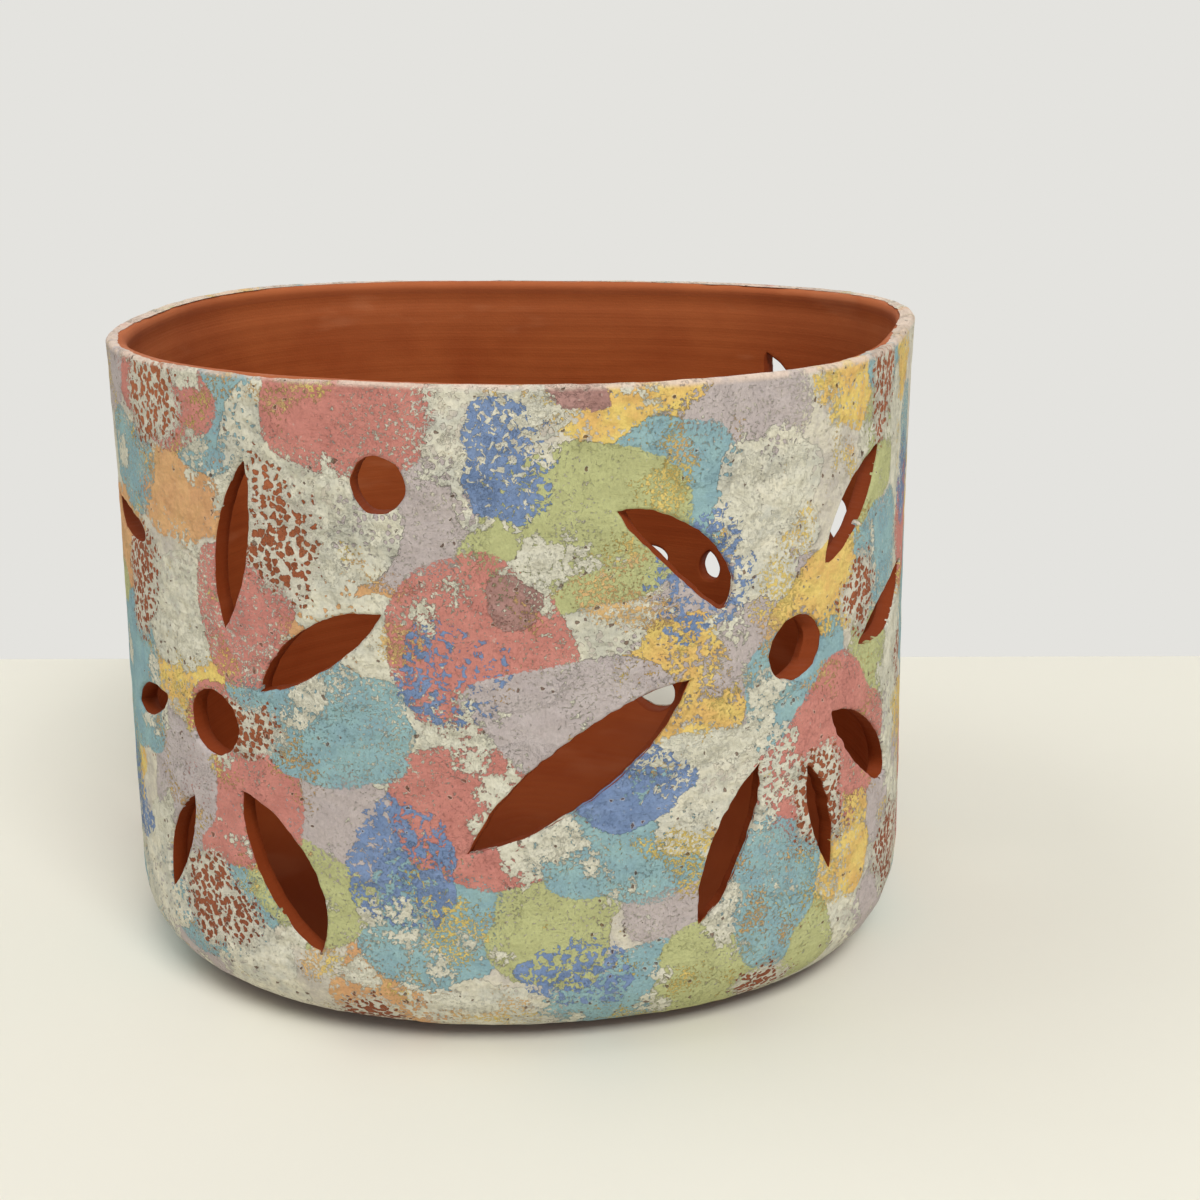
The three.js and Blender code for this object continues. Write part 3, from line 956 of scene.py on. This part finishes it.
def make_foot(material):
    inner, outer = SEAM_RADIUS - FOOT_WIDTH / 2, SEAM_RADIUS + FOOT_WIDTH / 2
    profile = [
        (inner + FOOT_BEVEL, 0),
        *arc((outer - FOOT_BEVEL, FOOT_BEVEL), FOOT_BEVEL, -90, 0, 4),
        (outer, FOOT_HEIGHT),
        (inner, FOOT_HEIGHT),
        *arc((inner + FOOT_BEVEL, FOOT_BEVEL), FOOT_BEVEL, 180, 270, 4)[:-1],
    ]
    turned_piece("turned_foot", profile, FOOT_STEPS, "foot_ring", material)


def floor_sheet():
    reach = SEAM_RADIUS * FLOOR_GRID_SHARE
    line = np.arange(-reach, reach + FLOOR_STEP, FLOOR_STEP)
    x, y = pairs_of(line, line)
    angle = np.arctan2(y, x)
    distance = (SEAM_RADIUS - PIECE_GAP) * shape_share(angle, FLOOR_TOP) - np.hypot(x, y)
    for degrees in DRAIN_ANGLES:
        turn = math.radians(degrees)
        place = DRAIN_CIRCLE_RADIUS * math.cos(turn), DRAIN_CIRCLE_RADIUS * math.sin(turn)
        hole = np.hypot(x - place[0], y - place[1]) - DRAIN_DIAMETER / 2
        hole += DRAIN_WOBBLE * noise(np.stack([x, y, x * 0], -1), 4, 71) - EDGE_ROUNDING
        distance = np.minimum(distance, hole)
    return trimmed(line, line, distance, False)


def make_floor(material):
    def level(points, outwards, height):
        x, y = pushed(points, outwards).T
        return np.stack([x, y, height + x * 0], -1) + AXIS

    def top(points):
        places = level(points, 0, FLOOR_TOP)
        reach = np.hypot(points[:, 0], points[:, 1])
        turn = np.arctan2(points[:, 1], points[:, 0])
        spiral = np.sin(2 * math.pi * reach / FLOOR_RING_PITCH - turn)
        spiral *= np.exp(-reach / FLOOR_SPIRAL_REACH)
        fade = np.clip((SEAM_RADIUS - FLOOR_EDGE - reach) / FLOOR_FADE, 0, 1)
        places[:, 2] += fade * (FLOOR_RING_RISE * spiral + FLOOR_SWELL * noise(places, 20, 72))
        return places

    def at_hole(points):
        near_drain = np.hypot(points[:, 0], points[:, 1]) < DRAIN_CIRCLE_RADIUS + DRAIN_DIAMETER
        return near_drain[:, None].astype(float)

    def ring(height, drop):
        def places_of(points):
            hole = at_hole(points)
            return level(points, EDGE_ROUNDING * hole, height - drop * hole[:, 0])
        return places_of

    rings = [ring(FLOOR_TOP, DRAIN_ROUNDING), ring(FOOT_HEIGHT, -DRAIN_ROUNDING)]
    places, faces, _ = shell(
        floor_sheet(), top, lambda points: level(points, 0, FOOT_HEIGHT), rings
    )
    add_piece("thrown_floor", places, faces, "floor", material)


# Materials

def linear(colour):
    """A colour written in sRGB, 0 to 255, as the shader's linear values."""
    values = [c / 255 for c in colour]
    return tuple(c / 12.92 if c <= 0.04045 else ((c + 0.055) / 1.055) ** 2.4 for c in values) + (1,)


class Graph:
    """Short ways to add and link a material's nodes."""

    def __init__(self, name):
        self.material = bpy.data.materials.new(name)
        self.material.use_nodes = True
        self.tree = self.material.node_tree
        self.shader = self.tree.nodes["Principled BSDF"]
        place = self.tree.nodes.new("ShaderNodeTexCoord").outputs["Object"]
        scale = self.tree.nodes.new("ShaderNodeVectorMath")
        scale.operation = "SCALE"
        scale.inputs["Scale"].default_value = 1 / MM
        self.tree.links.new(place, scale.inputs[0])
        self.place = scale.outputs["Vector"]

    def put(self, socket, value):
        if isinstance(value, bpy.types.NodeSocket):
            self.tree.links.new(value, socket)
        else:
            socket.default_value = value

    def math(self, operation, *values):
        node = self.tree.nodes.new("ShaderNodeMath")
        node.operation = operation
        for socket, value in zip(node.inputs, values):
            self.put(socket, value)
        return node.outputs[0]

    def add(self, a, factor, b):
        """a times a factor, plus b."""
        return self.math("MULTIPLY_ADD", a, factor, b)

    def times(self, a, b):
        return self.math("MULTIPLY", a, b)

    def minus(self, a, b):
        return self.math("SUBTRACT", a, b)

    def stretched(self, factors, offset=(0, 0, 0)):
        node = self.tree.nodes.new("ShaderNodeMapping")
        self.put(node.inputs["Vector"], self.place)
        node.inputs["Scale"].default_value = factors
        node.inputs["Location"].default_value = offset
        return node.outputs[0]

    def noise(self, scale, detail=2, roughness=0.5, vector=None, distortion=0, output="Fac"):
        node = self.tree.nodes.new("ShaderNodeTexNoise")
        keys = "Vector", "Scale", "Detail", "Roughness", "Distortion"
        values = vector or self.place, scale, detail, roughness, distortion
        for key, value in zip(keys, values):
            self.put(node.inputs[key], value)
        return node.outputs[output]

    def cells(self, scale, vector):
        node = self.tree.nodes.new("ShaderNodeTexVoronoi")
        self.put(node.inputs["Vector"], vector)
        self.put(node.inputs["Scale"], scale)
        return node.outputs

    def attribute(self, name):
        node = self.tree.nodes.new("ShaderNodeAttribute")
        node.attribute_name = name
        return self.parts(node.outputs["Vector"])

    def parts(self, vector):
        node = self.tree.nodes.new("ShaderNodeSeparateXYZ")
        self.put(node.inputs[0], vector)
        return node.outputs

    def span(self, value, low, high, to_low=0, to_high=1):
        node = self.tree.nodes.new("ShaderNodeMapRange")
        node.interpolation_type = "SMOOTHSTEP"
        keys = "Value", "From Min", "From Max", "To Min", "To Max"
        for key, setting in zip(keys, (value, low, high, to_low, to_high)):
            self.put(node.inputs[key], setting)
        return node.outputs[0]

    def mix(self, share, first, second, blend="MIX"):
        node = self.tree.nodes.new("ShaderNodeMix")
        node.data_type = "RGBA"
        node.blend_type = blend
        self.put(node.inputs[0], share)
        for socket, value in zip((s for s in node.inputs if s.type == "RGBA"), (first, second)):
            self.put(socket, value)
        return next(s for s in node.outputs if s.type == "RGBA")

    def finish(self, colour, roughness, specular, height=None, strength=1):
        """The material, with its colour, its gloss and a relief whose height is in mm."""
        keys = "Base Color", "Roughness", "Specular IOR Level"
        for key, value in zip(keys, (colour, roughness, specular)):
            self.put(self.shader.inputs[key], value)
        if height:
            node = self.tree.nodes.new("ShaderNodeBump")
            node.inputs["Distance"].default_value = MM
            node.inputs["Strength"].default_value = strength
            self.put(node.inputs["Height"], height)
            self.put(self.shader.inputs["Normal"], node.outputs["Normal"])
        return self.material


def clay_colour(graph):
    """Fired terracotta: soft mottling, wiping streaks, grog, painted shade low down and on cut faces,
    painted light near the top, painted contact shade at the foot.
    """
    mottle = graph.span(graph.noise(0.06, 3), 0.3, 0.7)
    base = graph.mix(mottle, linear(CLAY_MID), linear(CLAY_LIGHT))
    wiped = graph.noise(1.0, 2, 0.5, graph.stretched((0.02, 0.02, 2.2)))
    base = graph.mix(graph.span(wiped, 0.4, 0.7, 0, 0.12), base, linear(CLAY_DARK))
    smear = graph.noise(1.0, 3, 0.6, graph.stretched((0.03, 0.03, 0.09), (3, 5, 2)))
    base = graph.mix(graph.span(smear, 0.6, 0.72, 0, 0.35), base, linear(CLAY_PALE))
    grog = graph.noise(1.9, 2, 0.7)
    base = graph.mix(graph.span(grog, 0.62, 0.75, 0, 0.3), base, linear(CLAY_LIGHT))
    height = graph.parts(graph.place)[2]
    # Painted shade: the clay is darkened the lower it lies and on the cut faces, where shade falls
    painted_shade = graph.math("MAXIMUM", graph.span(height, 20, 110, 0.6, 0), graph.attribute("cut_face")[0])
    base = graph.mix(graph.times(painted_shade, 0.85), base, linear(CLAY_PAINTED_SHADE))
    # Painted light: the clay is made paler near the top, as light falling on the upper inside
    base = graph.mix(graph.span(height, 106, 122, 0, 0.3), base, linear(CLAY_PAINTED_LIGHT))
    # Painted shade: the clay within a few mm of the table is darkened as the contact shadow under the
    # heel
    return graph.mix(graph.span(height, 1.5, 7, 0.8, 0), base, linear(CLAY_FOOT_PAINTED_SHADE)), wiped, grog


def clay_material():
    graph = Graph("fired_clay")
    colour, wiped, grog = clay_colour(graph)
    height = graph.add(wiped, 0.07, graph.times(grog, 0.05))
    return graph.finish(colour, graph.span(wiped, 0.3, 0.7, 0.62, 0.8), 0.18, height, 0.8)


def lip_material():
    """Clay with thin smudges of pale slip wiped over the top of the lip."""
    graph = Graph("lip_clay")
    colour, wiped, grog = clay_colour(graph)
    top = graph.span(graph.parts(graph.place)[2], POT_HEIGHT - 1.2, POT_HEIGHT - 0.3)
    patches = graph.times(graph.span(graph.noise(0.045, 2), 0.5, 0.62), top)
    smudge = graph.times(patches, graph.span(graph.noise(0.7, 3, 0.6), 0.42, 0.56))
    colour = graph.mix(graph.times(smudge, 0.85), colour, linear(LIP_SMUDGE))
    height = graph.add(wiped, 0.05, graph.times(grog, 0.05))
    return graph.finish(colour, 0.8, 0.3, height, 0.8)


def bent_place(graph):
    """The place, pushed about by a fine noise, so that cells lose their straight sides."""
    bent = graph.tree.nodes.new("ShaderNodeVectorMath")
    bent.operation = "MULTIPLY_ADD"
    warp = graph.noise(0.8, output="Color")
    for socket, value in zip(bent.inputs, (warp, (1.6, 1.6, 1.6), graph.place)):
        graph.put(socket, value)
    return bent.outputs[0]


def sponge_patterns(graph, bent):
    """Broken textures from 0 to 1, evenly shared out: specks, larger blots, pores, a mix."""
    specks = graph.span(graph.noise(1.5, 4, 0.75), 0.34, 0.66)
    blots = graph.span(graph.noise(0.8, 3, 0.6, None, 0.6), 0.36, 0.64)
    pores = graph.span(graph.cells(0.8, bent)["Distance"], 0.1, 0.85)
    rough = graph.add(specks, 0.5, graph.times(pores, 0.5))
    return specks, blots, pores, rough


class SlipLayers:
    """Colour, height in mm and lumpiness of the slip, as layer after layer is laid on."""

    def __init__(self, graph, colour, height, jag, soft):
        self.graph, self.colour, self.height, self.lumpy = graph, colour, height, 0.8
        self.jag, self.soft = jag, soft

    def cover(self, mask, tone, rise, lumpy):
        graph = self.graph
        self.colour = graph.mix(mask, self.colour, tone)
        self.height = graph.add(mask, rise, self.height)
        change = graph.times(mask, graph.minus(lumpy, self.lumpy))
        self.lumpy = graph.math("ADD", self.lumpy, change)

    def tone(self, light, dark):
        return self.graph.mix(self.soft, linear(light), linear(dark))

    def dab(self, name, light, dark, pattern, lumpy):
        graph = self.graph
        depth, worn, _ = graph.attribute(name)
        inside = graph.span(graph.math("ADD", depth, self.jag), -0.1, 0.14)
        kept = graph.span(graph.minus(pattern, worn), -0.1, 0.01)
        self.cover(graph.times(inside, kept), self.tone(light, dark), 0.09, lumpy)

    def veil(self, tone, pattern, offset, share):
        graph = self.graph
        region = graph.noise(1, 2, 0.5, graph.stretched((0.075, 0.075, 0.075), offset))
        amount = graph.span(region, 0.5, 0.68, -0.1, share)
        mask = graph.span(graph.minus(amount, pattern), -0.06, 0.06)
        self.cover(mask, tone, 0.1, 1)


def slip_material():
    """Matt slip in sponged layers over the clay, each broken open by specks or pores."""
    graph = Graph("sponged_slip")
    clay, _, _ = clay_colour(graph)
    bent = bent_place(graph)
    specks, blots, pores, rough = sponge_patterns(graph, bent)
    jag = graph.add(graph.noise(1.1, 3, 0.65), 2.4, -1.2)
    soft = graph.span(graph.noise(0.22, 3, 0.6), 0.32, 0.68)
    turned = graph.span(graph.noise(0.06, 2), 0.45, 0.55)
    cover = graph.math("ADD", jag, graph.span(graph.noise(0.05, 2), 0.3, 0.55, 0.2, 1.6))
    ground = graph.span(cover, -0.15, 0.1)
    plain = graph.mix(soft, *map(linear, GROUND))
    layers = SlipLayers(graph, graph.mix(ground, clay, plain), graph.times(ground, 0.08), jag, soft)
    kinds = {"pale": (pores, 1), "warm": (rough, 0.8)}
    for name, family, light, dark, *_ in PAINTS:
        layers.dab(name, light, dark, *kinds.get(family, (specks, 0.4)))
    layers.veil(graph.mix(turned, *map(linear, SUNNY)), specks, (5, 2, 7), 0.5)
    layers.veil(linear(PALE_VEIL), rough, (1, 8, 3), 0.85)
    for (name, light, dark, *_), pattern in zip(ACCENTS[:-1], (blots, specks)):
        layers.dab(name, light, dark, pattern, 0.6)
    _, light, dark, *_ = ACCENTS[-1]
    bare = graph.math("ADD", graph.times(jag, 2), graph.attribute("bare")[0])
    laced = graph.minus(graph.times(bare, 0.3), specks)
    layers.cover(graph.span(laced, -0.05, 0.05), layers.tone(light, dark), 0.1, 0.8)
    share = graph.math("MINIMUM", graph.times(bare, 0.13), 0.62)
    scraped = graph.span(graph.minus(share, pores), -0.05, 0.05)
    layers.cover(scraped, graph.mix(0.2, clay, linear(SCRAPED)), -0.2, 0.5)
    crest = graph.span(graph.parts(graph.place)[2], POT_HEIGHT - 2, POT_HEIGHT - 1)
    wiped = graph.times(crest, graph.span(graph.noise(0.12, 3, 0.6), 0.36, 0.5, 0.2, 0.9))
    layers.cover(wiped, linear(WIPED_CREST), 0, 0.5)
    colour, height, lumpy = layers.colour, layers.height, layers.lumpy

    pits = graph.cells(0.5, bent)
    chance = graph.parts(pits["Color"])[0]
    busy = graph.span(graph.noise(0.07, 1), 0.42, 0.62, 0.02, 0.45)
    busy = graph.add(lumpy, 0.35, busy)
    size = graph.span(graph.minus(chance, graph.minus(1, busy)), 0, 0.5, 0, 0.21)
    hole = graph.minus(size, pits["Distance"])
    pit = graph.span(hole, -0.01, 0.05)
    ring = graph.minus(graph.span(hole, -0.1, -0.03, 0, 0.35), graph.times(pit, 0.35))
    colour = graph.mix(graph.math("MAXIMUM", ring, 0), colour, linear(PORE_RING))
    # Painted shade: each pit is darkened as shade in the hole
    colour = graph.mix(graph.times(pit, 0.8), colour, linear(PORE_PAINTED_SHADE))

    grain = graph.noise(1.7, 3, 0.7)
    shade = graph.span(grain, 0.3, 0.7, 0.9, 1.06)
    colour = graph.mix(1.0, colour, shade, "MULTIPLY")
    lumps = graph.noise(0.27, 2, 0.4)
    level = graph.noise(1, 3, 0.6, graph.stretched((0.25, 0.25, 1.5), (3, 1, 4)))
    upright = graph.noise(1, 3, 0.6, graph.stretched((1.3, 1.3, 0.2), (2, 7, 1)))
    strokes = graph.parts(graph.mix(turned, level, upright))[0]
    for relief, rise in ((pit, -0.6), (grain, 0.16), (graph.times(lumps, lumpy), 2.2), (strokes, 0.24)):
        height = graph.add(relief, rise, height)
    return graph.finish(colour, 0.9, 0.2, height)


# Stage, light and camera

def stage_material(name, colour):
    graph = Graph(name)
    tone = graph.span(graph.noise(0.004, 2), 0.3, 0.7)
    pale = linear(colour)
    dark = tuple(0.985 * c for c in pale[:3]) + (1,)
    return graph.finish(graph.mix(tone, dark, pale), 0.6, 0.2)


def stage_plane(name, corners, material):
    mesh = bpy.data.meshes.new(name)
    mesh.from_pydata([Vector(c) * MM for c in corners], [], [(0, 1, 2, 3)])
    mesh.materials.append(material)
    into_scene(name, mesh)


def rectangle(low, high):
    """The four corners of a rectangle, from its lowest and its highest one."""
    return [low, (high[0], low[1]), high, (low[0], high[1])]


def show_paper(tree, plain, surface):
    """Rays that see a surface find the paper's colour, and the rest find the plain shader."""
    path = tree.nodes.new("ShaderNodeLightPath")
    seen = path.outputs["Is Camera Ray"]
    for key in ("Is Glossy Ray", "Is Transmission Ray"):
        either = tree.nodes.new("ShaderNodeMath")
        either.operation = "MAXIMUM"
        tree.links.new(seen, either.inputs[0])
        tree.links.new(path.outputs[key], either.inputs[1])
        seen = either.outputs[0]
    glow = tree.nodes.new("ShaderNodeEmission")
    glow.inputs["Color"].default_value = linear(PAPER)
    mix = tree.nodes.new("ShaderNodeMixShader")
    tree.links.new(seen, mix.inputs[0])
    tree.links.new(plain.outputs[0], mix.inputs[1])
    tree.links.new(glow.outputs[0], mix.inputs[2])
    tree.links.new(mix.outputs[0], surface)


def backdrop_material():
    """Pale paper that shows its colour as it is written and lights the pot as paper does."""
    material = stage_material("backdrop_paper", PAPER)
    tree = material.node_tree
    plain, output = tree.nodes["Principled BSDF"], tree.nodes["Material Output"]
    show_paper(tree, plain, output.inputs["Surface"])
    return material


def make_stage():
    turn = Euler((0, 0, math.radians(CAMERA_YAW))).to_matrix()
    table = [turn @ Vector((x, y, 0)) for x, y in rectangle(*TABLE_CORNERS)]
    stage_plane("table", table, stage_material("table_top", TABLE_TONE))
    wall = [(x, BACKDROP_PLACE, z) for x, z in rectangle(*BACKDROP_CORNERS)]
    stage_plane("backdrop", wall, backdrop_material())


def make_light():
    world = bpy.data.worlds.new("soft_room")
    world.use_nodes = True
    background = world.node_tree.nodes["Background"]
    background.inputs["Color"].default_value = (1, 1, 1, 1)
    background.inputs["Strength"].default_value = ROOM_LIGHT
    show_paper(world.node_tree, background, world.node_tree.nodes["World Output"].inputs["Surface"])
    bpy.context.scene.world = world
    for name, place, size, power in LAMPS:
        lamp = bpy.data.lights.new(name, "AREA")
        lamp.shape = "RECTANGLE"
        lamp.size, lamp.size_y = size[0] * MM, size[1] * MM
        lamp.energy = power
        light = into_scene(name, lamp)
        light.location = Vector(place) * MM
        aim = Vector(LAMP_TARGET) - Vector(place)
        light.rotation_euler = aim.to_track_quat("-Z", "Y").to_euler()


def make_camera():
    data = bpy.data.cameras.new("camera")
    data.lens = CAMERA_LENS
    data.sensor_width = SENSOR_WIDTH
    data.clip_start = NEAREST_SEEN * MM
    camera = into_scene("camera", data)
    camera.location = (Vector(CAMERA_PLACE) + Vector(AXIS)) * MM
    pitch, yaw, roll = (math.radians(a) for a in (90 - CAMERA_PITCH, CAMERA_YAW, CAMERA_ROLL))
    turn = Euler((pitch, 0, yaw)).to_matrix() @ Euler((0, 0, roll)).to_matrix()
    camera.rotation_euler = turn.to_euler()
    bpy.context.scene.camera = camera


make_camera()
make_stage()
make_light()
bpy.context.scene.view_settings.view_transform = "Standard"
clay_finish = clay_material()
make_wall(clay_finish)
make_heel(clay_finish)
make_rim(lip_material())
make_floor(clay_finish)
make_foot(clay_finish)
make_slip(slip_material())
